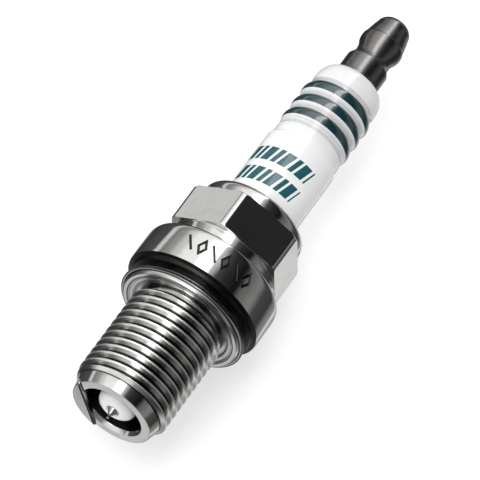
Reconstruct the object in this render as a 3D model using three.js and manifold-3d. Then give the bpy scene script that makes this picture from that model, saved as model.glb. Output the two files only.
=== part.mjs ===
// Resistor spark plug for a motorcycle engine: M14 x 1.25 thread, 19 mm reach, 16 mm hexagon.
// Units are millimetres. The plug lies along X: the firing end points to -X and the terminal to
// +X. x = 0 is the seat that the gasket is squeezed against, and two hexagon corners are at +-Z.

import * as THREE from "three";
import { mergeVertices } from "three/addons/utils/BufferGeometryUtils.js";
import Module from "manifold-3d";

const wasm = await Module();
wasm.setup();

// ---------------------------------------------------------------- driving dimensions

const ROUND_STEPS = 30; // facets round the large turned pieces
const SMALL_STEPS = 24; // facets round the pieces inside
const FIT_GAP = 0.04; // clearance between pieces that are pressed or fused together

// Thread and firing end
const REACH = 19.0; // seat to rim
const THREAD_R = 7.0; // M14
const THREAD_PITCH = 1.25;
const THREAD_DEPTH = 0.767;
const RIM_X = -REACH;
const RIM_R = 5.95;
const NOSE_R = 6.38; // where the smooth nose meets the thread
const NOSE_LENGTH = 1.7;
const RELIEF_R = 6.05; // neck between the last thread and the seat
const RELIEF_LENGTH = 2.6;

// Upper part of the shell
const SEAT_R = 9.35;
const COLLAR_R = 10.1;
const COLLAR_START = 0.7;
const COLLAR_END = 6.7;
const NECK_R = 7.85;
const HEX_ACROSS_FLATS = 16.0;
const HEX_START = 8.5;
const HEX_END = 14.4;
const HEX_CHAMFER = 0.5;
const CRIMP_R = 7.7;
const CRIMP_END = 16.8;
const CRIMP_LIP_R = 5.55;

// Bore of the shell
const BORE_R = 4.2; // round the insulator's nose
const LEDGE_R = 3.9; // ledge that carries the insulator
const LEDGE_X = -8.0;
const BODY_BORE_R = 4.95;
const BELLY_BORE_R = 6.65;
const BELLY_X = 3.2; // where the bore widens

// Insulator
const INSULATOR_TIP = -18.75;
const NOSE_TIP_R = 2.75;
const SHANK_R = 4.8;
const BELLY_R = 6.5;
const BARREL_R = 5.4;
const UPPER_R = 4.85; // between the ribs
const BAND_R = 5.1; // plain band below the ribs
const RIB_R = 5.3;
const RIB_HALF_WIDTH = 1.1;
const RIB_FIRST = 31.7; // centre of the rib next to the barrel
const RIB_PITCH = 2.48;
const RIB_COUNT = 3;
const BELLY_END = 10.9; // shoulder that the packing bears on
const BARREL_END = 27.5;
const CREASE_X = 30.15;
const SHOULDER_X = 39.0; // where the top begins to round off
const INSULATOR_TOP = 41.65;
const TOP_R = 3.75;
const ELECTRODE_HOLE_R = 0.9;
const INSULATOR_BORE_R = 2.1;
const INSULATOR_STEP = -2.0; // where the electrode's head rests

// Electrodes
const ELECTRODE_R = 0.86;
const ELECTRODE_POINT_R = 0.7;
const HEAD_R = 1.95;
const HEAD_END = -0.6;
const CORE_R = 0.45;
const CORE_START = -16.0;
const NEEDLE_R = 0.2;
const NEEDLE_TIP = -20.0;
const NEEDLE_START = -19.45;
const PLATE_PROUD = 0.3; // how far the ground electrode stands in front of the rim
const PLATE_THICKNESS = 0.9;
const PLATE_CHORD = 3.85; // distance of the plate's straight edge from the axis
const PLATE_DIRECTION = -14; // degrees from +Y towards +Z

// Packing between the insulator and the shell
const WASHER_THICKNESS = 0.75;
const WIRE_R = 0.5;
const LOWER_RING_X = 12.45;
const CRIMP_WALL = 1.0;
const UPPER_RING_X = CRIMP_END - CRIMP_WALL - 0.6;
const PACKING_R = (BELLY_BORE_R + BARREL_R) / 2; // middle of the annular space

// Fill of the insulator's bore
const LOWER_GLASS_END = 4.0;
const RESISTOR_END = 12.0;
const UPPER_GLASS_END = 17.0;

// Terminal
const STUD_R = 1.9;
const FLANGE_R = 3.6;
const FLANGE_START = 41.7;
const FLANGE_END = 42.15;
const STUD_THREAD_R = 1.95; // M4
const STUD_END = 49.6;
const NUT_START = 42.2;
const NUT_BORE_R = 2.02;
const NUT_BORE_END = 50.0;
const NUT_BASE_R = 3.15;
const NUT_NECK_R = 2.65;
const NUT_SHOULDER_X = 45.5;
const NUT_BULB_X = 49.35;
const NUT_TOP = 53.3;

// Gasket, which hangs a little askew on the relief neck
const GASKET_R = 9.4;
const GASKET_LIP_R = 6.55;
const GASKET_HALF_THICKNESS = 0.65;
const GASKET_SHEET = 0.22;
const GASKET_X = -1.75;
const GASKET_TILT = 2.5; // degrees
const GASKET_TILT_DIRECTION = 19; // degrees from +Y towards +Z, the axis that it tilts about

// ---------------------------------------------------------------- solids

// A closed three.js geometry as a manifold solid, with its faces pointing out.
function toSolid(geometry) {
  const bare = geometry.index ? geometry.toNonIndexed() : geometry.clone();
  bare.deleteAttribute("normal");
  bare.deleteAttribute("uv");
  const merged = mergeVertices(bare, 1e-5);
  const index = merged.index.array;
  const triangles = [];
  for (let i = 0; i < index.length; i += 3) {
    const [a, b, c] = [index[i], index[i + 1], index[i + 2]];
    if (a !== b && b !== c && c !== a) triangles.push(a, b, c);
  }
  const vertProperties = Float32Array.from(merged.attributes.position.array);
  if (signedVolume(vertProperties, triangles) < 0) triangles.reverse();
  return new wasm.Manifold(
    new wasm.Mesh({ numProp: 3, vertProperties, triVerts: Uint32Array.from(triangles) }),
  );
}

function signedVolume(positions, triangles) {
  const corner = (i) => new THREE.Vector3().fromArray(positions, 3 * triangles[i]);
  let volume = 0;
  for (let i = 0; i < triangles.length; i += 3) {
    volume += corner(i).dot(corner(i + 1).cross(corner(i + 2))) / 6;
  }
  return volume;
}

// Turns a profile of [x, radius] points about the X axis.
function turned(profile, steps = ROUND_STEPS) {
  const points = profile.map(([x, radius]) => new THREE.Vector2(radius, x));
  const lathe = new THREE.LatheGeometry(points, steps);
  return toSolid(lathe.rotateZ(-Math.PI / 2));
}

// A solid bar of revolution whose outline runs from its firing-side end to its terminal-side end.
function bar(outline, steps) {
  const first = outline[0][0];
  const last = outline[outline.length - 1][0];
  return turned([[first, 0], ...outline, [last, 0]], steps);
}

// A round bar between two stations.
function rod(start, end, radius, steps = SMALL_STEPS) {
  return bar([[start, radius], [end, radius]], steps);
}

// A ring whose section is the given closed loop of [x, radius] points.
function ring(section, steps = ROUND_STEPS) {
  return turned([...section, section[0]], steps);
}

// Points of a circular section about [x, radius].
function roundSection(x, radius, size, count = 10) {
  const section = [];
  for (let i = 0; i < count; i += 1) {
    const angle = (2 * Math.PI * i) / count;
    section.push([x + size * Math.cos(angle), radius + size * Math.sin(angle)]);
  }
  return section;
}

// Points on the quarter of an ellipse from [x0, r0] to [x1, r1]. It leaves the first point along
// the axis when alongFirst is true, and across the axis when it is false.
function quarter(x0, r0, x1, r1, alongFirst, steps = 3) {
  const points = [];
  for (let i = 0; i <= steps; i += 1) {
    const angle = (Math.PI / 2) * (i / steps);
    const rise = Math.sin(angle);
    const fall = 1 - Math.cos(angle);
    points.push([
      x0 + (x1 - x0) * (alongFirst ? rise : fall),
      r0 + (r1 - r0) * (alongFirst ? fall : rise),
    ]);
  }
  return points;
}

function part(name, solid, { color, roughness, metalness }) {
  const mesh = solid.getMesh();
  const geometry = new THREE.BufferGeometry();
  geometry.setAttribute("position", new THREE.BufferAttribute(mesh.vertProperties, 3));
  geometry.setIndex(new THREE.BufferAttribute(mesh.triVerts, 1));
  geometry.computeVertexNormals();
  const material = new THREE.MeshStandardMaterial({ color, roughness, metalness });
  const result = new THREE.Mesh(geometry, material);
  result.name = name;
  return result;
}

// ---------------------------------------------------------------- shell

// A helical thread longer than the stretch from start to end: four rows of points to each pitch,
// which climb one pitch per turn, so that row j runs on into row j + 4 at the end of its turn.
function threadBar(start, end) {
  const rows = [
    [0, THREAD_R],
    [1 / 8, THREAD_R],
    [7 / 16, THREAD_R - THREAD_DEPTH],
    [11 / 16, THREAD_R - THREAD_DEPTH],
  ];
  const perPitch = rows.length;
  const steps = ROUND_STEPS;
  const firstX = start - 2 * THREAD_PITCH;
  const lastRow = perPitch * (Math.ceil((end - start) / THREAD_PITCH) + 3);
  const positions = [];
  for (let j = 0; j <= lastRow; j += 1) {
    const [along, radius] = rows[j % perPitch];
    const turn = Math.floor(j / perPitch);
    for (let i = 0; i < steps; i += 1) {
      const angle = (2 * Math.PI * i) / steps;
      const x = firstX + THREAD_PITCH * (turn + along + i / steps);
      positions.push(x, radius * Math.cos(angle), radius * Math.sin(angle));
    }
  }
  const point = (j, i) => (i < steps ? j * steps + i : (j + perPitch) * steps);
  const faces = [];
  for (let j = 0; j < lastRow; j += 1) {
    const columns = j + 1 + perPitch <= lastRow ? steps : steps - 1;
    for (let i = 0; i < columns; i += 1) {
      faces.push(point(j, i), point(j, i + 1), point(j + 1, i + 1));
      faces.push(point(j, i), point(j + 1, i + 1), point(j + 1, i));
    }
  }
  const firstLoop = [];
  const lastLoop = [];
  for (let i = 0; i < steps; i += 1) {
    firstLoop.push(point(0, i));
    lastLoop.push(point(lastRow, i));
  }
  for (let k = 0; k < perPitch; k += 1) {
    firstLoop.push(point(perPitch - k, 0));
    lastLoop.push(point(lastRow - 1 - k, steps - 1));
  }
  const centre = positions.length / 3;
  positions.push(firstX - THREAD_PITCH, 0, 0);
  positions.push(firstX + THREAD_PITCH * (lastRow / perPitch + 2), 0, 0);
  for (let k = 0; k < firstLoop.length; k += 1) {
    const next = (k + 1) % firstLoop.length;
    faces.push(centre, firstLoop[next], firstLoop[k]);
    faces.push(centre + 1, lastLoop[k], lastLoop[next]);
  }
  const geometry = new THREE.BufferGeometry();
  geometry.setAttribute("position", new THREE.Float32BufferAttribute(positions, 3));
  geometry.setIndex(faces);
  return toSolid(geometry);
}

// The threaded length with its lead-in chamfer and its run-out at the relief neck.
function threadedLength() {
  const start = RIM_X + NOSE_LENGTH;
  const end = -RELIEF_LENGTH;
  const root = THREAD_R - THREAD_DEPTH;
  const envelope = bar([
    [start, NOSE_R],
    [start + 0.55, THREAD_R + 0.05],
    [end - 0.7, THREAD_R + 0.05],
    [end, root],
  ]);
  return threadBar(start, end).intersect(envelope);
}

function hexagon() {
  const corner = HEX_ACROSS_FLATS / Math.sqrt(3);
  const length = HEX_END - HEX_START;
  const prism = new THREE.CylinderGeometry(corner, corner, length, 6);
  prism.rotateZ(-Math.PI / 2);
  prism.translate((HEX_START + HEX_END) / 2, 0, 0);
  const flat = HEX_ACROSS_FLATS / 2;
  const chamfers = bar([
    [HEX_START, corner + 0.1],
    [HEX_END - HEX_CHAMFER, corner + 0.1],
    [HEX_END, flat + 0.35],
  ]);
  return toSolid(prism).intersect(chamfers);
}

function shellOutside() {
  const nose = bar([
    [RIM_X, RIM_R - 0.12],
    [RIM_X + 0.12, RIM_R],
    [RIM_X + NOSE_LENGTH - 0.12, NOSE_R],
    [RIM_X + NOSE_LENGTH, NOSE_R - 0.2],
    [RIM_X + NOSE_LENGTH + 0.3, NOSE_R - 0.2],
  ]);
  const relief = bar([[-RELIEF_LENGTH - 0.4, RELIEF_R], [0.2, RELIEF_R]]);
  const collar = bar([
    [0, SEAT_R - 0.25],
    [0.25, SEAT_R],
    [COLLAR_START - 0.15, SEAT_R + 0.1],
    [COLLAR_START, COLLAR_R - 0.15],
    [COLLAR_START + 0.3, COLLAR_R],
    ...quarter(COLLAR_END - 1.6, COLLAR_R, COLLAR_END, COLLAR_R - 1.3, true),
    [COLLAR_END + 0.25, NECK_R],
    [HEX_START + 0.2, NECK_R],
  ]);
  const crimp = bar([
    [HEX_END - 0.2, CRIMP_R],
    [HEX_END + 0.9, CRIMP_R],
    ...quarter(CRIMP_END - 0.9, CRIMP_R, CRIMP_END, CRIMP_R - 1.1, true),
    [CRIMP_END - 0.05, CRIMP_LIP_R],
  ]);
  return nose.add(threadedLength()).add(relief).add(collar).add(hexagon()).add(crimp);
}

function shellBore() {
  return bar([
    [RIM_X - 0.1, BORE_R + 0.25],
    [RIM_X + 0.2, BORE_R],
    [LEDGE_X - 1.2, BORE_R],
    [LEDGE_X - 0.9, LEDGE_R],
    [LEDGE_X, LEDGE_R],
    [LEDGE_X + 1.1, BODY_BORE_R],
    [BELLY_X, BODY_BORE_R],
    [BELLY_X + 1.3, BELLY_BORE_R],
    [CRIMP_END - CRIMP_WALL, BELLY_BORE_R],
    [CRIMP_END - CRIMP_WALL, CRIMP_LIP_R - 0.02],
    [CRIMP_END + 0.1, CRIMP_LIP_R - 0.02],
  ]);
}

// A block on one side of the axis, with its straight face at the given distance from it.
function chordBlock(start, end, distance) {
  const size = 2 * RIM_R + 2;
  const block = new THREE.BoxGeometry(end - start, size, 2 * size);
  block.translate((start + end) / 2, distance + size / 2, 0);
  block.rotateX(THREE.MathUtils.degToRad(PLATE_DIRECTION));
  return toSolid(block);
}

// The rim is stepped back on one side for the ground electrode.
function shell() {
  const plateEnd = RIM_X - PLATE_PROUD + PLATE_THICKNESS;
  const step = chordBlock(RIM_X - 1, plateEnd + FIT_GAP, PLATE_CHORD - FIT_GAP);
  return shellOutside().subtract(shellBore()).subtract(step);
}

function groundElectrode() {
  const start = RIM_X - PLATE_PROUD;
  const end = start + PLATE_THICKNESS;
  const disc = bar([
    [start, RIM_R - 0.15],
    [start + 0.15, RIM_R],
    [end, RIM_R + 0.02],
  ]);
  return disc.intersect(chordBlock(start - 1, end + 1, PLATE_CHORD));
}

// ---------------------------------------------------------------- gasket

// A ring folded from sheet steel: an S-shaped section with an inner lip that the thread holds.
function gasketRing() {
  const half = GASKET_HALF_THICKNESS;
  const sheet = GASKET_SHEET;
  const section = [
    [-sheet, GASKET_LIP_R],
    [sheet, GASKET_LIP_R],
    [sheet, GASKET_LIP_R + 0.55],
    [half, GASKET_LIP_R + 0.85],
    ...quarter(half, GASKET_R - 0.8, 0.12, GASKET_R, true),
    [0, GASKET_R - 0.25],
    ...quarter(-0.12, GASKET_R, -half, GASKET_R - 0.8, false),
    [-half, GASKET_LIP_R + 0.85],
    [-sheet, GASKET_LIP_R + 0.55],
  ];
  return ring(section);
}

// ---------------------------------------------------------------- insulator

function ribOutline(centre) {
  const outline = [];
  for (let k = -2; k <= 2; k += 1) {
    const angle = (Math.PI / 4) * k;
    const x = centre + RIB_HALF_WIDTH * Math.sin(angle);
    outline.push([x, UPPER_R + (RIB_R - UPPER_R) * Math.cos(angle)]);
  }
  return outline;
}

function insulator() {
  const ribs = [];
  for (let k = 0; k < RIB_COUNT; k += 1) ribs.push(...ribOutline(RIB_FIRST + k * RIB_PITCH));
  const outside = bar([
    [INSULATOR_TIP, ELECTRODE_HOLE_R + 0.3],
    ...quarter(INSULATOR_TIP + 0.05, NOSE_TIP_R - 0.9, INSULATOR_TIP + 0.95, NOSE_TIP_R, false),
    [LEDGE_X - 1.2, 3.45],
    [LEDGE_X + 0.35, 3.55],
    [LEDGE_X + 1.55, SHANK_R],
    [BELLY_X + 0.3, SHANK_R],
    [BELLY_X + 1.7, BELLY_R],
    [BELLY_END, BELLY_R],
    [BELLY_END + 1.0, BARREL_R - 0.05],
    [CRIMP_END, BARREL_R - 0.05],
    [CRIMP_END + 0.3, BARREL_R],
    ...quarter(BARREL_END, BARREL_R, BARREL_END + 0.8, BAND_R, true, 2),
    [CREASE_X - 0.25, BAND_R],
    [CREASE_X, BAND_R - 0.12],
    [CREASE_X + 0.25, BAND_R],
    ...ribs,
    [SHOULDER_X - 0.1, UPPER_R + 0.1],
    ...quarter(SHOULDER_X, UPPER_R + 0.1, INSULATOR_TOP, TOP_R, true),
  ]);
  const bore = bar(
    [
      [INSULATOR_TIP - 1, ELECTRODE_HOLE_R],
      [INSULATOR_STEP, ELECTRODE_HOLE_R],
      [INSULATOR_STEP, INSULATOR_BORE_R],
      [INSULATOR_TOP + 1, INSULATOR_BORE_R],
    ],
    SMALL_STEPS,
  );
  return outside.subtract(bore);
}

// ---------------------------------------------------------------- centre electrode

function centreElectrode() {
  const outside = bar(
    [
      [NEEDLE_START, NEEDLE_R + 0.1],
      [INSULATOR_TIP + 0.1, ELECTRODE_POINT_R],
      [INSULATOR_TIP + 0.4, ELECTRODE_R],
      [INSULATOR_STEP + FIT_GAP, ELECTRODE_R],
      [INSULATOR_STEP + FIT_GAP, HEAD_R],
      [HEAD_END, HEAD_R],
    ],
    SMALL_STEPS,
  );
  return outside.subtract(rod(CORE_START, HEAD_END + 1, CORE_R + FIT_GAP));
}

function iridiumTip() {
  return bar(
    [
      [NEEDLE_TIP, NEEDLE_R - 0.03],
      [NEEDLE_TIP + 0.03, NEEDLE_R],
      [NEEDLE_START - FIT_GAP, NEEDLE_R],
    ],
    12,
  );
}

// ---------------------------------------------------------------- terminal

function terminalStud() {
  return bar(
    [
      [UPPER_GLASS_END + FIT_GAP, STUD_R - 0.3],
      [UPPER_GLASS_END + 0.5, STUD_R],
      [FLANGE_START, STUD_R],
      [FLANGE_START, FLANGE_R],
      [FLANGE_END, FLANGE_R - 0.05],
      [FLANGE_END, STUD_THREAD_R],
      [STUD_END - 0.4, STUD_THREAD_R],
      [STUD_END, STUD_THREAD_R - 0.4],
    ],
    SMALL_STEPS,
  );
}

function terminalNut() {
  const outside = bar([
    [NUT_START, NUT_BASE_R + 0.1],
    [NUT_START + 0.25, NUT_BASE_R],
    [NUT_SHOULDER_X - 0.4, NUT_BASE_R],
    [NUT_SHOULDER_X, NUT_BASE_R - 0.15],
    [NUT_SHOULDER_X + 0.7, NUT_NECK_R],
    [NUT_SHOULDER_X + 1.3, NUT_NECK_R],
    ...quarter(NUT_BULB_X - 1.9, NUT_NECK_R + 0.1, NUT_BULB_X - 0.6, NUT_BASE_R, false, 2),
    [NUT_BULB_X, NUT_BASE_R - 0.08],
    [NUT_TOP - 1.5, 2.5],
    ...quarter(NUT_TOP - 1.3, 2.4, NUT_TOP, 0.9, true),
  ]);
  return outside.subtract(rod(NUT_START - 1, NUT_BORE_END, NUT_BORE_R));
}

// ---------------------------------------------------------------- packing

// A slanted washer that lies on the ledge, under the insulator's shoulder.
function lowerPackingWasher() {
  const inner = LEDGE_R + 0.02;
  const x = LEDGE_X + 0.06;
  return ring([
    [x, inner],
    [x + 0.95, inner + 0.87],
    [x + 0.69 + WASHER_THICKNESS, inner + 0.85],
    [x + WASHER_THICKNESS - 0.26, inner - 0.12],
  ]);
}

function wireRing(x) {
  return ring(roundSection(x, PACKING_R, WIRE_R));
}

// Talc powder pressed between the two wire rings.
function talcSeal() {
  const start = LOWER_RING_X + WIRE_R + 0.1;
  const end = UPPER_RING_X - WIRE_R - 0.1;
  return ring([
    [start, BARREL_R + 0.05],
    [end, BARREL_R + 0.05],
    [end, BELLY_BORE_R - 0.05],
    [start, BELLY_BORE_R - 0.05],
  ]);
}

// ---------------------------------------------------------------- assembly

const nickel = { color: 0xb8b8b4, roughness: 0.22, metalness: 1 };
const gasketSteel = { color: 0xb0b0ae, roughness: 0.3, metalness: 1 };
const alloy = { color: 0x9c9a96, roughness: 0.35, metalness: 1 };
const noble = { color: 0xcfcfd2, roughness: 0.25, metalness: 1 };
const copper = { color: 0xb87448, roughness: 0.35, metalness: 1 };
const glaze = { color: 0xf4f5f6, roughness: 0.12, metalness: 0 };
const sealGlass = { color: 0x3a3c40, roughness: 0.4, metalness: 0 };
const carbon = { color: 0x1d1d1f, roughness: 0.7, metalness: 0 };
const ringSteel = { color: 0x8d8f92, roughness: 0.45, metalness: 1 };
const talc = { color: 0xd9d5c8, roughness: 0.95, metalness: 0 };
const darkSteel = { color: 0x4c4b47, roughness: 0.32, metalness: 1 };

const plug = new THREE.Group();
plug.add(
  part("shell", shell(), nickel),
  part("ground_electrode", groundElectrode(), alloy),
  part("insulator", insulator(), glaze),
  part("centre_electrode", centreElectrode(), alloy),
  part("electrode_core", rod(CORE_START + FIT_GAP, HEAD_END, CORE_R), copper),
  part("iridium_tip", iridiumTip(), noble),
  part("lower_glass_seal", rod(HEAD_END + FIT_GAP, LOWER_GLASS_END, HEAD_R + 0.1), sealGlass),
  part("resistor_element", rod(LOWER_GLASS_END + FIT_GAP, RESISTOR_END, HEAD_R + 0.1), carbon),
  part("upper_glass_seal", rod(RESISTOR_END + FIT_GAP, UPPER_GLASS_END, HEAD_R + 0.1), sealGlass),
  part("terminal_stud", terminalStud(), darkSteel),
  part("terminal_nut", terminalNut(), darkSteel),
  part("lower_packing_washer", lowerPackingWasher(), ringSteel),
  part("lower_wire_ring", wireRing(LOWER_RING_X), ringSteel),
  part("talc_seal", talcSeal(), talc),
  part("upper_wire_ring", wireRing(UPPER_RING_X), ringSteel),
);

// The gasket is loose, so it is placed by a group of its own that tilts it on the neck.
const looseGasket = new THREE.Group();
const tiltAngle = THREE.MathUtils.degToRad(GASKET_TILT_DIRECTION);
const tiltAxis = new THREE.Vector3(0, Math.cos(tiltAngle), Math.sin(tiltAngle));
looseGasket.position.set(GASKET_X, 0, 0);
looseGasket.quaternion.setFromAxisAngle(tiltAxis, THREE.MathUtils.degToRad(GASKET_TILT));
looseGasket.add(part("gasket_ring", gasketRing(), gasketSteel));
plug.add(looseGasket);

export default plug;
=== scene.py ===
"""Resistor spark plug, lying along X with its firing end at -X: fine meshes and materials."""

import math

import bmesh
import bpy
from mathutils import Matrix, Vector


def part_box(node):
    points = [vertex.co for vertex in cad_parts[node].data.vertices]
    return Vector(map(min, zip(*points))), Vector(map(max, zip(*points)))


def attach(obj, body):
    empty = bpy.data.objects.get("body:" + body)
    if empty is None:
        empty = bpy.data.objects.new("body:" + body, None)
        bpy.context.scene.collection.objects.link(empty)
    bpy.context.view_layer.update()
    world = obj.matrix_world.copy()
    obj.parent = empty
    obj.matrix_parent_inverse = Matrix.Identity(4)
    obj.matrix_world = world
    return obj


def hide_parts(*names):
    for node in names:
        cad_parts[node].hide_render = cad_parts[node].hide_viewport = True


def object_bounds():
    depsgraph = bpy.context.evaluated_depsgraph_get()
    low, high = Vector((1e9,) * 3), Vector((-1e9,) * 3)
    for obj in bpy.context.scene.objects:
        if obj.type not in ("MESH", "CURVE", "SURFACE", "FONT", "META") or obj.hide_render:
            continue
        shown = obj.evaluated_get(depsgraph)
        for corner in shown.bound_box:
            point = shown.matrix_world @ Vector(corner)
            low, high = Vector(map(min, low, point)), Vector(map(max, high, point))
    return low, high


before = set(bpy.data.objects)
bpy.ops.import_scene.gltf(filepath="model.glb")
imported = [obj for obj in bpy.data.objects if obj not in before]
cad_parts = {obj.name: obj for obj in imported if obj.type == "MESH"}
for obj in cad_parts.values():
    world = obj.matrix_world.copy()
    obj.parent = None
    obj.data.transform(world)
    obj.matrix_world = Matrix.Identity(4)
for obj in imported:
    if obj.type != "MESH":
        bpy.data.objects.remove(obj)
cad_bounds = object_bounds()

MM = 0.001  # lengths below are in millimetres unless they say metres
COLUMNS = 144  # points round a large turned surface
TURN = 2 * math.pi
SHARP = 35  # degrees: edges sharper than this stay sharp where a surface is smoothed


def extent(node):
    """First x, last x and largest radius of a CAD node, in millimetres."""
    low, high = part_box(node)
    return low.x / MM, high.x / MM, max(high.z, -low.z, high.y, -low.y) / MM


SHELL_START, SHELL_END, _ = extent("shell")
INSULATOR_TIP, INSULATOR_TOP, _ = extent("insulator")
NUT_START, NUT_TOP, NUT_R = extent("terminal_nut")
PLATE_START, PLATE_END, _ = extent("ground_electrode")

# Shell
THREAD_R = 7.0
THREAD_PITCH = 1.25
THREAD_DEPTH = 0.767
NOSE_LENGTH = 1.7
NOSE_R = 6.38
RIM_R = 5.95
RELIEF_R = 6.05
RELIEF_LENGTH = 2.6
SEAT_R = 9.35
COLLAR_R = 10.1
COLLAR_START = 0.7
COLLAR_END = 6.7
NECK_R = 7.85
HEX_FLAT = 8.0
HEX_START = 8.5
HEX_END = 14.4
HEX_CORNER_RADIUS = 0.95
MARKS_X = 3.5  # middle of the engraved marks on the collar
MARK_HEIGHT = 2.1
MARK_WIDTH = 0.36
ENGRAVING = 0.2  # depth of the marks
CRIMP_R = 7.7
LIP_R = 5.53
BORE_R = 4.2
LEDGE_R = 3.9
LEDGE_X = -8.0
BODY_BORE_R = 4.95
BELLY_BORE_R = 6.65
BELLY_X = 3.2
PLATE_CHORD = 3.85
PLATE_DIRECTION = math.radians(-14)

# Insulator
SHANK_R = 4.8
BELLY_R = 6.5
BELLY_END = 10.9
BARREL_R = 5.4
BAND_R = 5.1
UPPER_R = 4.85
RIB_R = 5.3
RIB_HALF_WIDTH = 1.1
RIB_FIRST = 31.7
RIB_PITCH = 2.48
RIB_COUNT = 3
CREASE_X = 30.15
BARREL_END = 27.5
SHOULDER_X = 39.0
TOP_R = 3.75
ELECTRODE_HOLE_R = 0.9
INSULATOR_BORE_R = 2.1
INSULATOR_STEP = -2.0  # where the bore widens behind the electrode's hole

# Electrode, stud and terminal
NEEDLE_START = -19.45
ELECTRODE_POINT_R = 0.7
ELECTRODE_R = 0.86
HEAD_START = -1.96
HEAD_END = -0.6
HEAD_R = 1.95
CORE_HOLE_R = 0.49
CORE_HOLE_START = -16.04
STUD_R = 1.9
FLANGE_X = 41.7
FLANGE_R = 3.6
STUD_THREAD_R = 1.95
STUD_PITCH = 0.7
STUD_THREAD_DEPTH = 0.36
NUT_BASE_R = 3.15
NUT_NECK_R = 2.65
NUT_SHOULDER_X = 45.5
NUT_BULB_X = 49.35
NUT_BORE_R = 2.02
NUT_BORE_END = 50.0

# Gasket
GASKET_X = -1.75
GASKET_R = 9.4
GASKET_LIP_R = 6.55
GASKET_HALF = 0.65
GASKET_TILT = math.radians(2.5)
GASKET_TILT_DIRECTION = math.radians(19)


# ---------------------------------------------------------------- outlines

def arc(x0, r0, x1, r1, along_first, steps=8):
    """Points on the quarter ellipse from (x0, r0) to (x1, r1), leaving along or across the axis."""
    points = []
    for i in range(steps + 1):
        angle = math.pi / 2 * i / steps
        rise, fall = math.sin(angle), 1 - math.cos(angle)
        across, along = (fall, rise) if along_first else (rise, fall)
        points.append((x0 + (x1 - x0) * along, r0 + (r1 - r0) * across))
    return points


def rounded(corners, closed=False, steps=4):
    """An outline of (x, radius, rounding) corners, each turned into a small arc."""
    points = []
    count = len(corners)
    for i, corner in enumerate(corners):
        here = Vector(corner[:2])
        size = corner[2] if len(corner) > 2 else 0
        if size == 0 or (not closed and i in (0, count - 1)):
            points.append(tuple(here))
            continue
        back = Vector(corners[i - 1][:2]) - here
        ahead = Vector(corners[(i + 1) % count][:2]) - here
        size = min(size, 0.45 * back.length, 0.45 * ahead.length)
        start, end = here + size * back.normalized(), here + size * ahead.normalized()
        for k in range(steps + 1):
            t = k / steps
            points.append(tuple((1 - t) ** 2 * start + 2 * t * (1 - t) * here + t * t * end))
    return points


def spaced(x0, r0, x1, r1, step):
    """Evenly spaced points from (x0, r0) to (x1, r1), without the last one."""
    count = max(1, round(math.hypot(x1 - x0, r1 - r0) / step))
    return [(x0 + (x1 - x0) * i / count, r0 + (r1 - r0) * i / count) for i in range(count)]


# ---------------------------------------------------------------- meshes

def even_angles(count=COLUMNS):
    return [TURN * i / count for i in range(count)]


def turned(name, outline, closed=False, angles=None, shape=None, sharp=SHARP):
    """Turns an outline about X. A closed outline makes a ring, and an open one is capped on the
    axis. shape(x, radius, angle) may change the radius."""
    angles = angles or even_angles()
    count = len(angles)
    mesh = bmesh.new()
    rows = []
    for x, radius in outline:
        row = []
        for angle in angles:
            r = shape(x, radius, angle) if shape else radius
            row.append(mesh.verts.new((x * MM, r * math.cos(angle) * MM, r * math.sin(angle) * MM)))
        rows.append(row)
    pairs = list(zip(rows, rows[1:]))
    if closed:
        pairs.append((rows[-1], rows[0]))
    for below, above in pairs:
        for i in range(count):
            j = (i + 1) % count
            mesh.faces.new((below[i], below[j], above[j], above[i]))
    if not closed:
        for row, x in ((rows[0], outline[0][0]), (rows[-1], outline[-1][0])):
            hub = mesh.verts.new((x * MM, 0, 0))
            for i in range(count):
                mesh.faces.new((hub, row[i], row[(i + 1) % count]))
    bmesh.ops.dissolve_degenerate(mesh, dist=1e-8, edges=mesh.edges)
    bmesh.ops.recalc_face_normals(mesh, faces=mesh.faces)
    return finished(name, mesh, sharp)


def smooth(mesh, sharp=SHARP):
    """Smooths a bmesh but for the edges sharper than the given angle in degrees."""
    for edge in mesh.edges:
        edge.smooth = len(edge.link_faces) == 2 and edge.calc_face_angle(0) <= math.radians(sharp)
    for face in mesh.faces:
        face.smooth = True


def finished(name, mesh, sharp=SHARP):
    """An object from a bmesh, smoothed."""
    data = bpy.data.meshes.new(name)
    smooth(mesh, sharp)
    mesh.to_mesh(data)
    mesh.free()
    piece = bpy.data.objects.new(name, data)
    bpy.context.scene.collection.objects.link(piece)
    return piece


def cut(piece, *tools):
    """Subtracts the tools from a piece and removes them."""
    for tool in tools:
        modifier = piece.modifiers.new("cut", "BOOLEAN")
        modifier.operation = "DIFFERENCE"
        modifier.solver = "EXACT"
        modifier.object = tool
    bpy.context.view_layer.update()
    graph = bpy.context.evaluated_depsgraph_get()
    data = bpy.data.meshes.new_from_object(piece.evaluated_get(graph))
    data.name = piece.name
    piece.modifiers.clear()
    piece.data = data
    for tool in tools:
        bpy.data.objects.remove(tool)
    mesh = bmesh.new()
    mesh.from_mesh(piece.data)
    bmesh.ops.remove_doubles(mesh, verts=mesh.verts, dist=1e-7)
    smooth(mesh)
    mesh.to_mesh(piece.data)
    mesh.free()
    return piece


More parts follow.
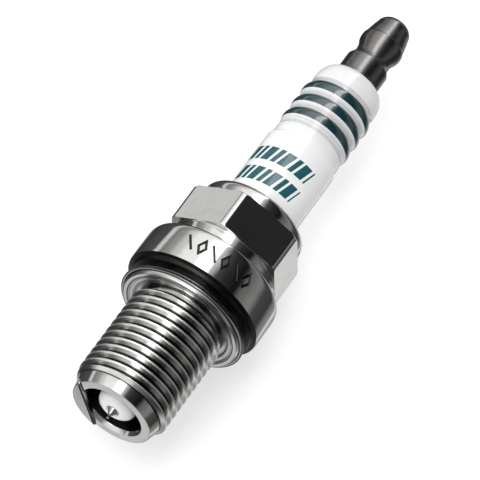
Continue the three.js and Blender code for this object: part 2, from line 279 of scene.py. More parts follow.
def curved_bar(points, width, inner, outer):
    """A cutter that follows (x, angle) points on a round surface, from radius inner to outer.
    It closes on itself where the last point is the first one again. At a bend it widens, so that
    its stretches keep their width."""
    mesh = bmesh.new()
    rings = []
    closed = points[0] == points[-1]
    if closed:
        points = points[:-1]
    for i, (x, angle) in enumerate(points):
        before, after = points[max(i - 1, 0)], points[min(i + 1, len(points) - 1)]
        if closed:
            before, after = points[i - 1], points[(i + 1) % len(points)]
        run = Vector((after[0] - before[0], (after[1] - before[1]) * inner)).normalized()
        ahead = Vector((after[0] - x, (after[1] - angle) * inner))
        mitre = max(0.4, run.dot(ahead.normalized())) if ahead.length > 0 else 1
        side = Vector((-run.y, run.x)) * width / 2 / mitre
        ring = []
        for sign, radius in ((-1, inner), (1, inner), (1, outer), (-1, outer)):
            a = angle + sign * side.y / inner
            point = Vector((x + sign * side.x, radius * math.cos(a), radius * math.sin(a)))
            ring.append(mesh.verts.new(point * MM))
        rings.append(ring)
    for one, other in zip(rings, rings[1:] + rings[:1] if closed else rings[1:]):
        for k in range(4):
            mesh.faces.new((one[k], one[(k + 1) % 4], other[(k + 1) % 4], other[k]))
    if not closed:
        mesh.faces.new(rings[0])
        mesh.faces.new(rings[-1])
    bmesh.ops.recalc_face_normals(mesh, faces=mesh.faces)
    return finished("cutter", mesh)


# ---------------------------------------------------------------- shell

def thread_height(phase, crest=0.16, root=0.14, softness=0.035):
    """Height of the thread from 0 at its root to 1 at its crest, over one pitch: straight flanks
    with rounded crest and root."""
    centre = 1 / 16  # middle of the crest
    away = abs((phase - centre + 0.5) % 1 - 0.5)
    t = (away - crest / 2) / (0.5 - crest / 2 - root / 2)

    def soft_floor(value):
        return (value + math.sqrt(value * value + softness * softness)) / 2

    return 1 - soft_floor(t) + soft_floor(t - 1)


def hex_radius(angle):
    """Radius of the hexagon's outline, with corners at plus and minus Z rounded."""
    from_corner = abs((angle - math.pi / 2 + math.pi / 6) % (math.pi / 3) - math.pi / 6)
    centre = (HEX_FLAT - HEX_CORNER_RADIUS) / math.cos(math.pi / 6)
    tangent = math.pi / 6 - math.atan2(centre / 2, HEX_FLAT)
    if from_corner > tangent:
        return HEX_FLAT / math.cos(math.pi / 6 - from_corner)
    reach = HEX_CORNER_RADIUS ** 2 - (centre * math.sin(from_corner)) ** 2
    return centre * math.cos(from_corner) + math.sqrt(reach)


def shell_shape(x, radius, angle):
    if HEX_START - 0.01 <= x <= HEX_END + 0.01 and radius > CRIMP_R + 0.4:
        return min(radius, hex_radius(angle))
    thread_start = SHELL_START + NOSE_LENGTH
    if thread_start < x < -RELIEF_LENGTH + 0.01 and radius > BODY_BORE_R + 0.5:
        phase = (x - thread_start) / THREAD_PITCH - angle / TURN
        root = THREAD_R - THREAD_DEPTH
        return min(radius, root + THREAD_DEPTH * thread_height(phase))
    return radius


def shell_outline():
    rim, thread = SHELL_START, SHELL_START + NOSE_LENGTH
    end = -RELIEF_LENGTH
    nose = rounded([
        (rim, BORE_R + 0.45),
        (rim, RIM_R - 0.02, 0.1),
        (thread - 0.1, NOSE_R, 0.12),
        (thread - 0.02, NOSE_R - 0.2),
    ])
    threads = spaced(thread + 0.02, NOSE_R - 0.02, thread + 0.55, THREAD_R, 0.05)
    threads += spaced(thread + 0.55, THREAD_R, end - 0.75, THREAD_R, 0.05)
    threads += spaced(end - 0.75, THREAD_R, end, THREAD_R - THREAD_DEPTH, 0.05)
    collar = rounded([
        (end + 0.05, RELIEF_R),
        (0, RELIEF_R, 0.1),
        (0, SEAT_R, 0.22),
        (COLLAR_START - 0.2, SEAT_R + 0.05, 0.1),
        (COLLAR_START, COLLAR_R - 0.1, 0.06),
        (COLLAR_START + 0.35, COLLAR_R, 0.1),
    ])
    collar += arc(COLLAR_END - 1.7, COLLAR_R, COLLAR_END - 0.55, COLLAR_R - 0.45, True, 6)
    neck = rounded([
        (COLLAR_END - 0.5, COLLAR_R - 0.55),
        (COLLAR_END, COLLAR_R - 1.2, 0.25),
        (COLLAR_END + 0.15, NECK_R + 0.15, 0.15),
        (COLLAR_END + 0.5, NECK_R, 0.2),
        (HEX_START - 0.15, NECK_R, 0.1),
        (HEX_START, NECK_R + 0.15),
    ])
    corner = HEX_FLAT / math.cos(math.pi / 6)
    hexagon = [(HEX_START, CRIMP_R + 0.41), (HEX_START, corner - 0.25), (HEX_START + 0.12, corner)]
    hexagon += spaced(HEX_START + 0.3, corner, HEX_END - 0.5, corner, 0.9)
    hexagon += spaced(HEX_END - 0.5, corner + 0.02, HEX_END - 0.06, corner - 0.45, 0.06)
    hexagon += [(HEX_END - 0.06, HEX_FLAT + 0.13), (HEX_END, HEX_FLAT + 0.03)]
    hexagon += [(HEX_END, CRIMP_R + 0.15)]
    crimp = arc(HEX_END + 0.02, CRIMP_R + 0.1, HEX_END + 0.12, CRIMP_R, False, 3)
    crimp += [(HEX_END + 0.5, CRIMP_R)]
    crimp += arc(SHELL_END - 1.35, CRIMP_R, SHELL_END, CRIMP_R - 1.35, True, 10)
    crimp += rounded([
        (SHELL_END, CRIMP_R - 1.5),
        (SHELL_END - 0.08, LIP_R + 0.02, 0.1),
        (SHELL_END - 1.0, LIP_R),
    ])
    bore = rounded([
        (SHELL_END - 1.0, BELLY_BORE_R),
        (BELLY_X + 1.3, BELLY_BORE_R, 0.2),
        (BELLY_X, BODY_BORE_R, 0.2),
        (LEDGE_X + 1.1, BODY_BORE_R, 0.1),
        (LEDGE_X, LEDGE_R, 0.1),
        (LEDGE_X - 0.9, LEDGE_R, 0.1),
        (LEDGE_X - 1.2, BORE_R, 0.1),
        (rim + 0.5, BORE_R, 0.05),
        (rim + 0.12, BORE_R + 0.3, 0.1),
        (rim, BORE_R + 0.4),
    ])
    return nose + threads + collar + neck + hexagon + crimp + bore


def shell_angles():
    """Even columns, with more of them at the hexagon's corners."""
    angles = set(round(a, 6) for a in even_angles())
    for corner in range(6):
        for step in range(-6, 7):
            angle = math.pi / 2 + corner * math.pi / 3 + math.radians(0.55 * step)
            angles.add(round(angle % TURN, 6))
    return sorted(angles)


def chord_block(start, end, distance):
    """A block on one side of the axis, with its straight face at the given distance from it."""
    mesh = bmesh.new()
    bmesh.ops.create_cube(mesh, size=1)
    size = 2 * RIM_R + 2
    place = Matrix.Rotation(PLATE_DIRECTION, 4, "X")
    place @= Matrix.Translation(Vector(((start + end) / 2, distance + size / 2, 0)) * MM)
    place @= Matrix.Diagonal(Vector(((end - start) * MM, size * MM, 2 * size * MM, 1)))
    mesh.transform(place)
    return finished("cutter", mesh)


def collar_marks():
    """Cutters for a plain engraved pattern on the collar: slanted bars and lozenge outlines."""
    low, high = MARKS_X - MARK_HEIGHT / 2, MARKS_X + MARK_HEIGHT / 2
    lean, wide = 0.07, math.radians(3.2)
    marks = []
    for k in range(3):
        bar = math.radians(80 + 21 * k)
        marks.append([(low, bar + lean), (MARKS_X, bar), (high, bar - lean)])
        lozenge = bar + math.radians(10.5)
        marks.append([(low, lozenge), (MARKS_X, lozenge + wide), (high, lozenge),
                      (MARKS_X, lozenge - wide), (low, lozenge)])
    return [curved_bar(m, MARK_WIDTH, COLLAR_R - ENGRAVING, COLLAR_R + 0.4) for m in marks]


def shell():
    piece = turned("shell_body", shell_outline(), True, shell_angles(), shell_shape)
    step = chord_block(SHELL_START - 1, PLATE_END + 0.02, PLATE_CHORD - 0.02)
    return cut(piece, step, *collar_marks())


def ground_plate():
    """A straight-edged segment of the rim that stands a little in front of it."""
    mesh = bmesh.new()
    half = math.acos(PLATE_CHORD / RIM_R)
    steps = 40
    outline = []
    for i in range(steps + 1):
        angle = PLATE_DIRECTION - half + 2 * half * i / steps
        outline.append((RIM_R * math.cos(angle), RIM_R * math.sin(angle)))
    front = [mesh.verts.new((PLATE_START * MM, y * MM, z * MM)) for y, z in outline]
    back = [mesh.verts.new((PLATE_END * MM, y * MM, z * MM)) for y, z in outline]
    mesh.faces.new(front)
    mesh.faces.new(back[::-1])
    for i in range(len(outline)):
        j = (i + 1) % len(outline)
        mesh.faces.new((front[i], front[j], back[j], back[i]))
    bmesh.ops.recalc_face_normals(mesh, faces=mesh.faces)
    sharp = [e for e in mesh.edges if e.calc_face_angle(0) > math.radians(40)]
    bmesh.ops.bevel(mesh, geom=sharp, offset=0.22 * MM, segments=3, profile=0.6, affect="EDGES")
    return finished("ground_plate", mesh)


# ---------------------------------------------------------------- gasket

def gasket():
    """A ring of folded sheet: two lobes outside with a fold between them, and a lip inside."""
    h, outer, lip = GASKET_HALF, GASKET_R, GASKET_LIP_R
    outline = rounded([
        (-0.22, lip, 0.1),
        (0.22, lip, 0.1),
        (0.24, lip + 0.6, 0.2),
        (h, lip + 0.95, 0.3),
    ])
    outline += arc(h, outer - 0.75, 0.1, outer, True, 8)
    outline += [(0.02, outer - 0.12), (0.0, outer - 0.3), (-0.02, outer - 0.12)]
    outline += arc(-0.1, outer, -h, outer - 0.75, False, 8)
    outline += rounded([
        (-h, outer - 0.8),
        (-h, lip + 1.5, 0.2),
        (-h + 0.16, lip + 1.2, 0.2),
        (-h + 0.1, lip + 0.85, 0.2),
        (-0.24, lip + 0.55, 0.2),
        (-0.22, lip),
    ])
    piece = turned("folded_gasket", outline, True, even_angles(180))
    tilt_axis = Vector((0, math.cos(GASKET_TILT_DIRECTION), math.sin(GASKET_TILT_DIRECTION)))
    place = Matrix.Translation((GASKET_X * MM, 0, 0)) @ Matrix.Rotation(GASKET_TILT, 4, tilt_axis)
    piece.data.transform(place)
    return piece


# ---------------------------------------------------------------- insulator

def insulator_outline():
    top, tip = INSULATOR_TOP, INSULATOR_TIP
    nose = [(tip + 0.04, ELECTRODE_HOLE_R + 0.03), (tip, 1.0)]
    nose += arc(tip + 0.01, 1.3, tip + 1.35, 2.78, False, 10)
    nose += [(LEDGE_X - 1.2, 3.45), (LEDGE_X + 0.35, 3.55), (LEDGE_X + 1.55, SHANK_R)]
    belly = [(BELLY_X + 0.3, SHANK_R), (BELLY_X + 1.7, BELLY_R), (BELLY_END, BELLY_R)]
    belly += [(BELLY_END + 1, BARREL_R - 0.05), (SHELL_END, BARREL_R - 0.05)]
    barrel = spaced(SHELL_END + 0.3, BARREL_R, BARREL_END, BARREL_R, 1.0)
    barrel += arc(BARREL_END, BARREL_R, BARREL_END + 0.45, BARREL_R - 0.15, True, 5)
    barrel += arc(BARREL_END + 0.45, BARREL_R - 0.15, BARREL_END + 0.9, BAND_R, False, 5)
    band = spaced(BARREL_END + 1.1, BAND_R, CREASE_X - 0.55, BAND_R, 0.3)
    for i in range(13):
        t = -1 + i / 6
        dip = 0.2 * (0.5 + 0.5 * math.cos(math.pi * t))
        band.append((CREASE_X + 0.5 * t, BAND_R - dip - 0.02 * (t + 1)))
    ribs = []
    for k in range(RIB_COUNT):
        middle = RIB_FIRST + k * RIB_PITCH
        for i in range(-10, 11):
            t = i / 10
            lift = math.cos(math.pi / 2 * t) ** 0.9 if abs(t) < 1 else 0
            ribs.append((middle + RIB_HALF_WIDTH * t, UPPER_R + (RIB_R - UPPER_R) * lift))
    shoulder = [(SHOULDER_X - 0.4, UPPER_R + 0.02), (SHOULDER_X - 0.1, UPPER_R + 0.08)]
    shoulder += arc(SHOULDER_X, UPPER_R + 0.1, top, TOP_R, True, 12)
    hole = [(top, INSULATOR_BORE_R + 0.1), (top - 0.1, INSULATOR_BORE_R)]
    hole += [(INSULATOR_STEP, INSULATOR_BORE_R), (INSULATOR_STEP, ELECTRODE_HOLE_R)]
    hole += [(tip + 0.12, ELECTRODE_HOLE_R)]
    return nose + belly + barrel + band + ribs + shoulder + hole


def insulator():
    return turned("glazed_insulator", insulator_outline(), True, even_angles(), sharp=50)


# ---------------------------------------------------------------- electrodes and terminal

def centre_rod():
    outline = rounded([
        (NEEDLE_START, 0.3),
        (INSULATOR_TIP - 0.02, ELECTRODE_POINT_R, 0.06),
        (INSULATOR_TIP + 0.4, ELECTRODE_R, 0.1),
        (HEAD_START, ELECTRODE_R, 0.05),
        (HEAD_START, HEAD_R, 0.1),
        (HEAD_END, HEAD_R, 0.1),
        (HEAD_END, CORE_HOLE_R),
        (CORE_HOLE_START, CORE_HOLE_R, 0.1),
    ])
    outline += [(CORE_HOLE_START, 0.02)]
    return turned("centre_rod", outline, False, even_angles(64))


def needle():
    start, end, radius = extent("iridium_tip")
    outline = rounded([(start, 0.12), (start, radius, 0.03), (end, radius, 0.01), (end, 0.1)])
    return turned("needle_tip", outline, False, even_angles(32))


def rod_like(name, node, edge=0.12):
    """A plain round rod in place of a CAD node, with softened edges."""
    start, end, radius = extent(node)
    outline = rounded([
        (start, radius * 0.3), (start, radius, edge), (end, radius, edge), (end, radius * 0.3),
    ])
    return turned(name, outline, False, even_angles(72))


def wire_loop(name, node):
    start, end, outer = extent(node)
    size = (end - start) / 2
    middle, radius = (start + end) / 2, outer - size
    outline = []
    for angle in even_angles(16):
        outline.append((middle + size * math.cos(angle), radius + size * math.sin(angle)))
    return turned(name, outline, True, even_angles(96))


def stud():
    start, end, _ = extent("terminal_stud")
    outline = rounded([
        (start, 1.0), (start, 1.6, 0.2), (start + 0.5, STUD_R, 0.1), (FLANGE_X, STUD_R, 0.02),
        (FLANGE_X, FLANGE_R, 0.08), (FLANGE_X + 0.42, FLANGE_R - 0.02, 0.08),
        (FLANGE_X + 0.45, 1.6, 0.05),
    ])
    outline += spaced(FLANGE_X + 0.6, 1.62, FLANGE_X + 1.1, STUD_THREAD_R, 0.05)
    outline += spaced(FLANGE_X + 1.1, STUD_THREAD_R, end - 0.4, STUD_THREAD_R, 0.05)
    outline += spaced(end - 0.4, STUD_THREAD_R, end, 1.55, 0.05) + [(end, 1.2)]

    def shape(x, radius, angle):
        if x < FLANGE_X + 0.55 or radius < 1.3:
            return radius
        height = thread_height(x / STUD_PITCH - angle / TURN, 0.15, 0.1)
        return min(radius, STUD_THREAD_R - STUD_THREAD_DEPTH * (1 - height))

    return turned("terminal_post", outline, False, even_angles(72), shape)


def nut():
    outline = rounded([
        (NUT_START, 2.3),
        (NUT_START, NUT_R, 0.08),
        (NUT_START + 0.25, NUT_BASE_R, 0.1),
        (NUT_SHOULDER_X - 0.35, NUT_BASE_R, 0.12),
        (NUT_SHOULDER_X + 0.05, NUT_BASE_R - 0.22, 0.15),
        (NUT_SHOULDER_X + 0.7, NUT_NECK_R, 0.3),
        (NUT_BULB_X - 2.1, NUT_NECK_R, 0.4),
        (NUT_BULB_X - 1.0, NUT_BASE_R, 0.5),
        (NUT_BULB_X - 0.1, NUT_BASE_R, 0.12),
        (NUT_BULB_X + 0.15, NUT_BASE_R - 0.12, 0.1),
        (NUT_TOP - 1.9, 2.65, 0.3),
    ], steps=6)
    outline += arc(NUT_TOP - 1.6, 2.52, NUT_TOP, 0.9, True, 10)
    outline += [(NUT_TOP, 0.4)]
    hollow = [(NUT_START, NUT_BORE_R + 0.1), (NUT_START + 0.1, NUT_BORE_R)]
    hollow += [(NUT_BORE_END, NUT_BORE_R), (NUT_BORE_END + 0.6, 0.3)]
    return turned("terminal_cap_nut", outline[::-1] + hollow, False, even_angles(96))


def washer():
    start, end, outer = extent("lower_packing_washer")
    inner = LEDGE_R + 0.05
    outline = rounded([
        (start, inner, 0.05), (start + 0.95, outer - 0.02, 0.05),
        (end, outer - 0.05, 0.05), (start + 0.5, inner - 0.1, 0.05),
    ], closed=True)
    return turned("packing_washer", outline, True, even_angles(96))


def talc():
    start, end, outer = extent("talc_seal")
    inner = BARREL_R + 0.05
    outline = rounded([
        (start, inner, 0.1), (end, inner, 0.1), (end, outer, 0.1), (start, outer, 0.1),
    ], closed=True)
    return turned("talc_ring", outline, True, even_angles(96))


# ---------------------------------------------------------------- materials

class Nodes:
    """A node tree that works from one kind of coordinates, with short helpers."""

    def __init__(self, tree, coordinates):
        self.tree = tree
        self.place = tree.nodes.new("ShaderNodeTexCoord").outputs[coordinates]

    def link(self, source, target):
        self.tree.links.new(source, target)

    def stretched(self, scale):
        """Object coordinates scaled by (x, y, z), in repeats per metre."""
        node = self.tree.nodes.new("ShaderNodeMapping")
        node.inputs["Scale"].default_value = scale
        self.link(self.place, node.inputs["Vector"])
        return node.outputs["Vector"]

    def noise(self, vector, detail=4.0, roughness=0.55):
        node = self.tree.nodes.new("ShaderNodeTexNoise")
        node.inputs["Scale"].default_value = 1
        node.inputs["Detail"].default_value = detail
        node.inputs["Roughness"].default_value = roughness
        self.link(vector, node.inputs["Vector"])
        return node.outputs["Fac"]

    def ramp(self, value, stops, interpolation="LINEAR"):
        """A ramp through (position, colour) stops."""
        node = self.tree.nodes.new("ShaderNodeValToRGB")
        node.color_ramp.interpolation = interpolation
        elements = node.color_ramp.elements
        while len(elements) < len(stops):
            elements.new(0.5)
        for element, (at, colour) in zip(elements, stops):
            element.position = at
            element.color = (*colour, 1)
        self.link(value, node.inputs["Fac"])
        return node.outputs["Color"]

    def range(self, value, low, high, from_low=0.3, from_high=0.7, interpolation="LINEAR"):
        """The value brought from one range to another and held within it."""
        node = self.tree.nodes.new("ShaderNodeMapRange")
        node.interpolation_type = interpolation
        node.inputs["From Min"].default_value = from_low
        node.inputs["From Max"].default_value = from_high
        node.inputs["To Min"].default_value = low
        node.inputs["To Max"].default_value = high
        self.link(value, node.inputs["Value"])
        return node.outputs["Result"]

    def math(self, operation, a, b=None):
        node = self.tree.nodes.new("ShaderNodeMath")
        node.operation = operation
        for socket, value in zip(node.inputs, (a, b)):
            if value is None:
                continue
            if isinstance(value, (int, float)):
                socket.default_value = value
            else:
                self.link(value, socket)
        return node.outputs[0]

    def mix(self, factor, first, second):
        node = self.tree.nodes.new("ShaderNodeMix")
        node.data_type = "RGBA"
        self.link(factor, node.inputs["Factor"])
        for socket, value in ((node.inputs["A"], first), (node.inputs["B"], second)):
            if isinstance(value, tuple):
                socket.default_value = (*value, 1)
            else:
                self.link(value, socket)
        return node.outputs["Result"]

    def axial(self):
        """x, and the angle round the X axis in turns."""
        split = self.tree.nodes.new("ShaderNodeSeparateXYZ")
        self.link(self.place, split.inputs["Vector"])
        angle = self.math("ARCTAN2", split.outputs["Z"], split.outputs["Y"])
        return split.outputs["X"], self.math("DIVIDE", angle, TURN)

    def radius(self):
        """Distance from the X axis."""
        split = self.tree.nodes.new("ShaderNodeSeparateXYZ")
        self.link(self.place, split.inputs["Vector"])
        square = [self.math("MULTIPLY", split.outputs[axis], split.outputs[axis]) for axis in "YZ"]
        return self.math("SQRT", self.math("ADD", *square))

    def lines_at(self, colour, darker, radii, width):
        """Darker rings of the given radii and width, in millimetres, over a colour."""
        radius = self.radius()
        for middle in radii:
            off = self.math("ABSOLUTE", self.math("SUBTRACT", radius, middle * MM))
            clear = self.range(off, 0, 1, width / 2 * MM, width * MM)
            colour = self.mix(clear, darker, colour)
        return colour


class Material(Nodes):
    """A material's nodes round its shader."""

    def __init__(self, name):
        self.material = bpy.data.materials.new(name)
        self.material.use_nodes = True
        super().__init__(self.material.node_tree, "Object")
        self.shader = self.tree.nodes["Principled BSDF"]

    def give(self, socket, value):
        """Gives the shader a fixed value or another node's output."""
        if isinstance(value, (int, float, tuple)):
            self.shader.inputs[socket].default_value = value
        else:
            self.link(value, self.shader.inputs[socket])

    def colour(self, tone):
        self.tone = tone
        self.give("Base Color", tone)

    def bump(self, height, strength, distance):
        node = self.tree.nodes.new("ShaderNodeBump")
        node.inputs["Strength"].default_value = strength
        node.inputs["Distance"].default_value = distance
        self.link(height, node.inputs["Height"])
        self.give("Normal", node.outputs["Normal"])


def shade(colour, factor):
    return tuple(min(1, c * factor) for c in colour)


def metal(name, colour, rough, lines=6000, grain=0.03, spots=0.12):
    """Turned metal: tool lines round the axis, faint cloudy tarnish and small handling marks. lines
    is their number in a metre, and grain is their height in hundredths of a millimetre."""
    n = Material(name)
    n.give("Metallic", 1)
    cloud = n.noise(n.stretched((260, 260, 260)), detail=5)
    turning = n.noise(n.stretched((lines, 60, 60)), detail=3, roughness=0.7)
    marks = n.noise(n.stretched((2400, 900, 900)), detail=6, roughness=0.7)
    mixed = n.math("ADD", n.math("MULTIPLY", cloud, 0.6), n.math("MULTIPLY", marks, 0.4))
    darker, lighter = shade(colour, 1 - spots), shade(colour, 1.04)
    n.colour(n.ramp(mixed, ((0.36, darker), (0.5, colour), (0.64, lighter))))
    n.give("Roughness", n.range(mixed, rough * 0.75, rough * 1.35))
    n.bump(n.math("ADD", turning, n.math("MULTIPLY", marks, 0.35)), 1.0, grain * 1e-5)
    return n


def thread_metal(name, colour, rough):
    """Rolled thread: painted shade darkens its root, and a painted highlight lightens its rubbed
    crest.
    """
    n = metal(name, colour, rough, grain=0.005)
    root = THREAD_R - THREAD_DEPTH
    radius = n.radius()
    # painted shade: the thread's root is darkened to near black
    floor = n.range(radius, 0, 1, (root + 0.06) * MM, (root + 0.24) * MM)
    # painted highlight: the crest is lightened as though it caught light from all round
    crest = n.range(radius, 0, 1, (THREAD_R - 0.08) * MM, (THREAD_R - 0.03) * MM)
    painted_crest_highlight = n.mix(crest, n.tone, shade(colour, 1.5))
    n.colour(n.mix(floor, shade(colour, 0.04), painted_crest_highlight))
    rubbed = n.range(radius, rough, 0.36, (THREAD_R - 0.13) * MM, (THREAD_R - 0.05) * MM)
    n.give("Roughness", rubbed)
    return n


def folded_metal(name, colour, rough, radii):
    """Folded sheet, with painted shade as dark lines in the seams where its layers meet."""
    n = metal(name, colour, rough, lines=2000, grain=0.003, spots=0.06)
    n.colour(n.lines_at(n.tone, shade(colour, 0.08), radii, 0.11))
    return n


def glaze(name, colour, rough=0.1):
    """Glazed ceramic: a clear coat with very faint mottling and orange peel. It is greyer from the
    barrel's end on, and painted shade darkens the hollows between and beyond the ribs."""
    n = Material(name)
    cloud = n.noise(n.stretched((150, 150, 150)))
    speck = n.noise(n.stretched((5200, 5200, 5200)), detail=2)
    tone = n.ramp(cloud, ((0.3, shade(colour, 0.965)), (0.7, colour)))
    x, _ = n.axial()
    ribbed = n.range(x, 0, 1, (BARREL_END + 0.5) * MM, (BARREL_END + 2) * MM)
    below_top = n.math("LESS_THAN", x, (SHOULDER_X - 0.6) * MM)
    # painted shade: the glaze is darkened in the hollows, where the radius falls below the band's
    hollow = n.range(n.radius(), 1, 0, UPPER_R * MM, (BAND_R - 0.03) * MM)
    hollow = n.math("MULTIPLY", n.math("MULTIPLY", hollow, ribbed), below_top)
    tone = n.mix(ribbed, tone, shade(colour, 0.87))
    n.colour(n.mix(hollow, tone, shade(colour, 0.62)))
    n.give("Roughness", n.range(speck, rough, rough * 1.8))
    n.give("Coat Weight", 0.5)
    n.give("Coat Roughness", 0.06)
    n.bump(n.math("ADD", cloud, n.math("MULTIPLY", speck, 0.05)), 0.25, 2e-5)
    return n


def rib_enamel(name, colour):
    """Coloured enamel with a glossy coat that mirrors the studio strongly."""
    n = glaze(name, colour, 0.08)
    n.give("Coat Weight", 1)
    n.give("Coat IOR", 1.8)
    n.give("Coat Roughness", 0.03)
    return n


# Rows of printed bars: middle x, first and last place round the barrel, and pitch.
PRINTED_ROWS = ((23.6, 3.0, 13.2, 2.75), (20.0, 3.2, 13.0, 2.65))
PRINT_HEIGHT = 2.4
PRINT_LEAN = 0.3  # shift round the barrel for each millimetre along it


def printed_glaze(name, white, ink):
    """White glaze with two printed rows of plain slanted bars on the barrel."""
    n = glaze(name, white)
    x, turns = n.axial()
    along = n.math("MULTIPLY", turns, TURN * BARREL_R * MM)
    ink_mask = None
    for middle, first, last, pitch in PRINTED_ROWS:
        off = n.math("SUBTRACT", x, middle * MM)
        inside = n.math("LESS_THAN", n.math("ABSOLUTE", off), PRINT_HEIGHT / 2 * MM)
        lean = n.math("SUBTRACT", along, n.math("MULTIPLY", off, PRINT_LEAN))
        share = n.math("FRACT", n.math("DIVIDE", n.math("SUBTRACT", lean, first * MM), pitch * MM))
        wide = n.math("LESS_THAN", share, 0.46)
        thin = n.math("LESS_THAN", n.math("ABSOLUTE", n.math("SUBTRACT", share, 0.74)), 0.13)
        bars = n.math("MAXIMUM", wide, thin)
        after = n.math("GREATER_THAN", lean, first * MM)
        before = n.math("LESS_THAN", lean, last * MM)
        span = n.math("MULTIPLY", after, before)
        row = n.math("MULTIPLY", n.math("MULTIPLY", inside, bars), span)
        ink_mask = row if ink_mask is None else n.math("MAXIMUM", ink_mask, row)
    wear = n.noise(n.stretched((1800, 1800, 1800)), detail=4)
    worn = n.ramp(wear, ((0.3, shade(ink, 1.25)), (0.6, ink)))
    n.colour(n.mix(ink_mask, n.tone, worn))
    return n


def dull(name, colour, rough, size=1500, depth=4e-5):
    """Pressed powder, glass or carbon: grainy tone and a slightly uneven surface. size is the
    number of grains in a metre, and depth is in metres."""
    n = Material(name)
    grain = n.noise(n.stretched((size, size, size)), detail=6, roughness=0.7)
    n.colour(n.ramp(grain, ((0.3, shade(colour, 0.75)), (0.7, shade(colour, 1.15)))))
    n.give("Roughness", n.range(grain, rough * 0.85, min(1, rough * 1.15)))
    n.bump(grain, 0.6, depth)
    return n


def paint(piece, *looks):
    piece.data.materials.clear()
    for look in looks:
        piece.data.materials.append(look.material)
    return piece


def paint_shell(piece, *looks):
    """Paints the body, the thread and painted shade: near-black nickel on the bore, the seat with
    the step behind the gasket, and the engraving's floor."""
    paint(piece, *looks)
    for face in piece.data.polygons:
        x, radius = face.center.x / MM, math.hypot(*face.center.yz) / MM
        in_bore = x > SHELL_START + 0.55 and radius < BORE_R + 0.1
        on_seat = -0.05 < x < COLLAR_START + 0.04 and radius > RELIEF_R + 0.2
        in_marks = abs(x - MARKS_X) < MARK_HEIGHT / 2 + 0.65
        engraved = in_marks and abs(radius - COLLAR_R + ENGRAVING) < 0.03
        # painted shade: these recessed faces get the near-black nickel
        if in_bore or on_seat or engraved:
            face.material_index = 2
        elif SHELL_START + NOSE_LENGTH < x < -RELIEF_LENGTH and radius > BODY_BORE_R + 0.5:
            face.material_index = 1
    return piece


def paint_ribs(piece, *looks):
    """Paints the glaze, and the enamel on every rib from just before its crest to its end."""
    paint(piece, *looks)
    for face in piece.data.polygons:
        for k in range(RIB_COUNT):
            along = face.center.x / MM - (RIB_FIRST + k * RIB_PITCH)
            if -0.5 < along < 0.95 and math.hypot(*face.center.yz) > UPPER_R * MM:
                face.material_index = 1
    return piece


# ---------------------------------------------------------------- assembly

def place(piece, body, slot, *nodes):
    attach(piece, body)
    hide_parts(*nodes)


nickel = metal("nickel_plate", (0.64, 0.635, 0.62), 0.09, grain=0.004)
thread_nickel = thread_metal("rolled_nickel", (0.66, 0.655, 0.64), 0.16)
# near-black nickel, painted as shade in the bore, on the seat and in the engraving
painted_shade_nickel = metal("shaded_nickel", (0.035, 0.034, 0.033), 0.3, grain=0.01)
# the gasket's dark lines at these radii are painted shade in the seams of the fold
gasket_steel = folded_metal("gasket_sheet", (0.66, 0.66, 0.65), 0.22, (8.15, 8.95, 9.3))
alloy = metal("electrode_alloy", (0.55, 0.545, 0.53), 0.2, grain=0.015)
noble = metal("noble_metal", (0.42, 0.42, 0.43), 0.22)
copper = metal("copper_core", (0.72, 0.36, 0.2), 0.3)
dark_steel = metal("dark_terminal", (0.2, 0.195, 0.19), 0.24, grain=0.01, spots=0.15)
ring_steel = metal("ring_steel", (0.45, 0.45, 0.46), 0.4)
white = printed_glaze("printed_glaze", (0.82, 0.822, 0.83), (0.012, 0.085, 0.1))
rib_ink = rib_enamel("rib_ink", (0.006, 0.035, 0.045))
seal_glass = dull("seal_glass", (0.045, 0.05, 0.055), 0.35)
carbon = dull("resistor_carbon", (0.02, 0.02, 0.022), 0.75, 3000)
powder = dull("talc_powder", (0.7, 0.67, 0.6), 0.95, 2600, 8e-5)

place(paint_shell(shell(), nickel, thread_nickel, painted_shade_nickel),
      "plug_body", "nickel_shell", "shell")
place(paint(ground_plate(), alloy), "plug_body", "electrode_alloy", "ground_electrode")
place(paint_ribs(insulator(), white, rib_ink), "plug_body", "white_glaze", "insulator")
place(paint(centre_rod(), alloy), "plug_body", "electrode_alloy", "centre_electrode")
place(paint(needle(), noble), "plug_body", "noble_metal", "iridium_tip")
place(paint(rod_like("copper_core_rod", "electrode_core", 0.08), copper),
      "plug_body", "copper", "electrode_core")
place(paint(rod_like("lower_seal", "lower_glass_seal"), seal_glass),
      "plug_body", "seal_glass", "lower_glass_seal")
place(paint(rod_like("resistor_rod", "resistor_element"), carbon),
      "plug_body", "resistor_carbon", "resistor_element")
place(paint(rod_like("upper_seal", "upper_glass_seal"), seal_glass),
      "plug_body", "seal_glass", "upper_glass_seal")
place(paint(stud(), dark_steel), "plug_body", "dark_steel", "terminal_stud")
place(paint(washer(), ring_steel), "plug_body", "ring_steel", "lower_packing_washer")
place(paint(talc(), powder), "plug_body", "talc", "talc_seal")
for name in ("lower_wire_ring", "upper_wire_ring"):
    place(paint(wire_loop(name + "_round", name), ring_steel), "plug_body", "ring_steel", name)
place(paint(gasket(), gasket_steel), "gasket", "gasket_steel", "gasket_ring")
place(paint(nut(), dark_steel), "terminal", "dark_steel", "terminal_nut")


# ---------------------------------------------------------------- studio

def studio_floor():
    """A plain pale floor just under the collar."""
    mesh = bmesh.new()
    half, height = 1.5, cad_bounds[0][2] - 0.0004
    corners = [(-half, -half), (half, -half), (half, half), (-half, half)]
    mesh.faces.new([mesh.verts.new((x, y, height)) for x, y in corners])
    floor = finished("studio_floor", mesh)
    n = Material("pale_floor")
    grain = n.noise(n.stretched((40, 40, 40)), detail=2)
    n.colour(n.ramp(grain, ((0.0, (0.42, 0.42, 0.42)), (1.0, (0.44, 0.44, 0.44)))))
    n.give("Roughness", 0.6)
    n.give("Specular IOR Level", 0.2)
    n.give("Emission Color", (1, 1, 1, 1))
    n.give("Emission Strength", 0.62)
    paint(floor, n)
    floor.visible_glossy = False


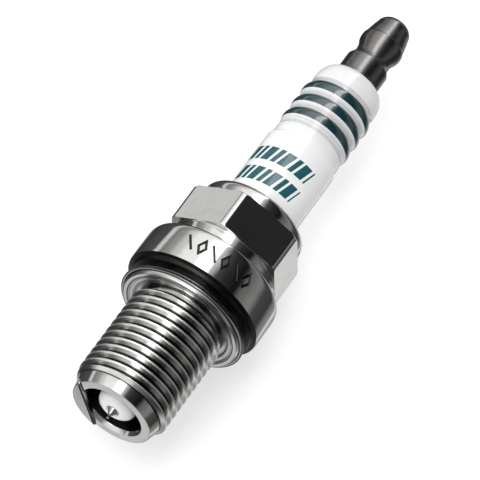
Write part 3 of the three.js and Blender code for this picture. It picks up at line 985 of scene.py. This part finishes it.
# Brightness of the studio round the plug's axis: degrees from +Y towards +Z, then brightness.
SIDE_BANDS = (
    (0, 0.1), (5, 0.12), (8, 0.85), (14, 0.85), (18, 0.28), (30, 0.42), (44, 0.85), (56, 1.25),
    (78, 1.3), (82, 3.5), (98, 3.5), (102, 0.7), (115, 0.07), (128, 0.03), (146, 0.01),
    (160, 0.18), (180, 0.28), (197, 0.08), (218, 0.06), (232, 0.26), (243, 0.34), (248, 0.85),
    (254, 0.85), (260, 0.36), (278, 0.45), (288, 0.75), (304, 0.45), (318, 0.05),
)
FRONT_BANDS = (
    (0, 1.2), (60, 1.1), (95, 1.1), (125, 0.3), (180, 0.12), (215, 0.04), (248, 0.08),
    (270, 0.4), (300, 0.6), (318, 0.08), (332, 0.12), (348, 1.2),
)
BRIGHTEST = 3.5


def bands_ramp(n, share, bands):
    """A ramp through the bands, which closes on its first value after a full turn."""
    bands = bands + ((360, bands[0][1]),)
    stops = [(degrees / 360, (level / BRIGHTEST,) * 3) for degrees, level in bands]
    return n.ramp(share, stops, "EASE")


def studio_world():
    """Bands of light and shade that run along the plug, as long softboxes and flags give. Other
    bands lie beyond its firing end."""
    world = bpy.data.worlds.new("studio")
    bpy.context.scene.world = world
    world.use_nodes = True
    n = Nodes(world.node_tree, "Generated")
    x, turns = n.axial()
    share = n.math("FRACT", turns)
    beyond = n.range(x, 0, 1, -0.5, -0.75, "SMOOTHSTEP")
    light = n.mix(beyond, bands_ramp(n, share, SIDE_BANDS), bands_ramp(n, share, FRONT_BANDS))
    background = n.tree.nodes["Background"]
    background.inputs["Strength"].default_value = BRIGHTEST
    n.link(light, background.inputs["Color"])


PLUG_MIDDLE = Vector((0.017, 0, 0))  # in metres


def soft_light(name, direction, distance, size, power):
    """A square soft light that points at the middle of the plug. It isn't mirrored in the metal.
    Distance and size are in metres, and power is in watts."""
    data = bpy.data.lights.new(name, "AREA")
    data.size = size
    data.energy = power
    light = bpy.data.objects.new(name, data)
    light.location = PLUG_MIDDLE + Vector(direction).normalized() * distance
    light.rotation_euler = (light.location - PLUG_MIDDLE).to_track_quat("Z", "Y").to_euler()
    light.visible_glossy = False
    bpy.context.scene.collection.objects.link(light)


VIEW_AZIMUTH = math.radians(-56.98)
VIEW_ELEVATION = math.radians(57.16)
VIEW_ROLL = math.radians(-1.285)
VIEW_DISTANCE = 0.798  # metres from the plug
VIEW_TARGET = Vector((0.01253, -0.00011, -0.00004))  # in metres
LENS = 450


def camera():
    data = bpy.data.cameras.new("camera")
    data.lens = LENS
    data.sensor_width = 36
    data.clip_start = 0.01
    view = bpy.data.objects.new("camera", data)
    back = Vector((math.sin(VIEW_AZIMUTH) * math.cos(VIEW_ELEVATION),
                   -math.cos(VIEW_AZIMUTH) * math.cos(VIEW_ELEVATION), math.sin(VIEW_ELEVATION)))
    turn = back.to_track_quat("Z", "Y").to_matrix() @ Matrix.Rotation(VIEW_ROLL, 3, "Z")
    view.matrix_world = Matrix.Translation(VIEW_TARGET + back * VIEW_DISTANCE) @ turn.to_4x4()
    bpy.context.scene.collection.objects.link(view)
    bpy.context.scene.camera = view


studio_floor()
studio_world()
soft_light("key_light", (-0.3, 0.75, 0.6), 0.65, 0.6, 1.15)
soft_light("fill_light", (0.2, -0.72, 0.6), 0.7, 0.7, 1.5)
camera()
bpy.context.scene.view_settings.view_transform = "Standard"
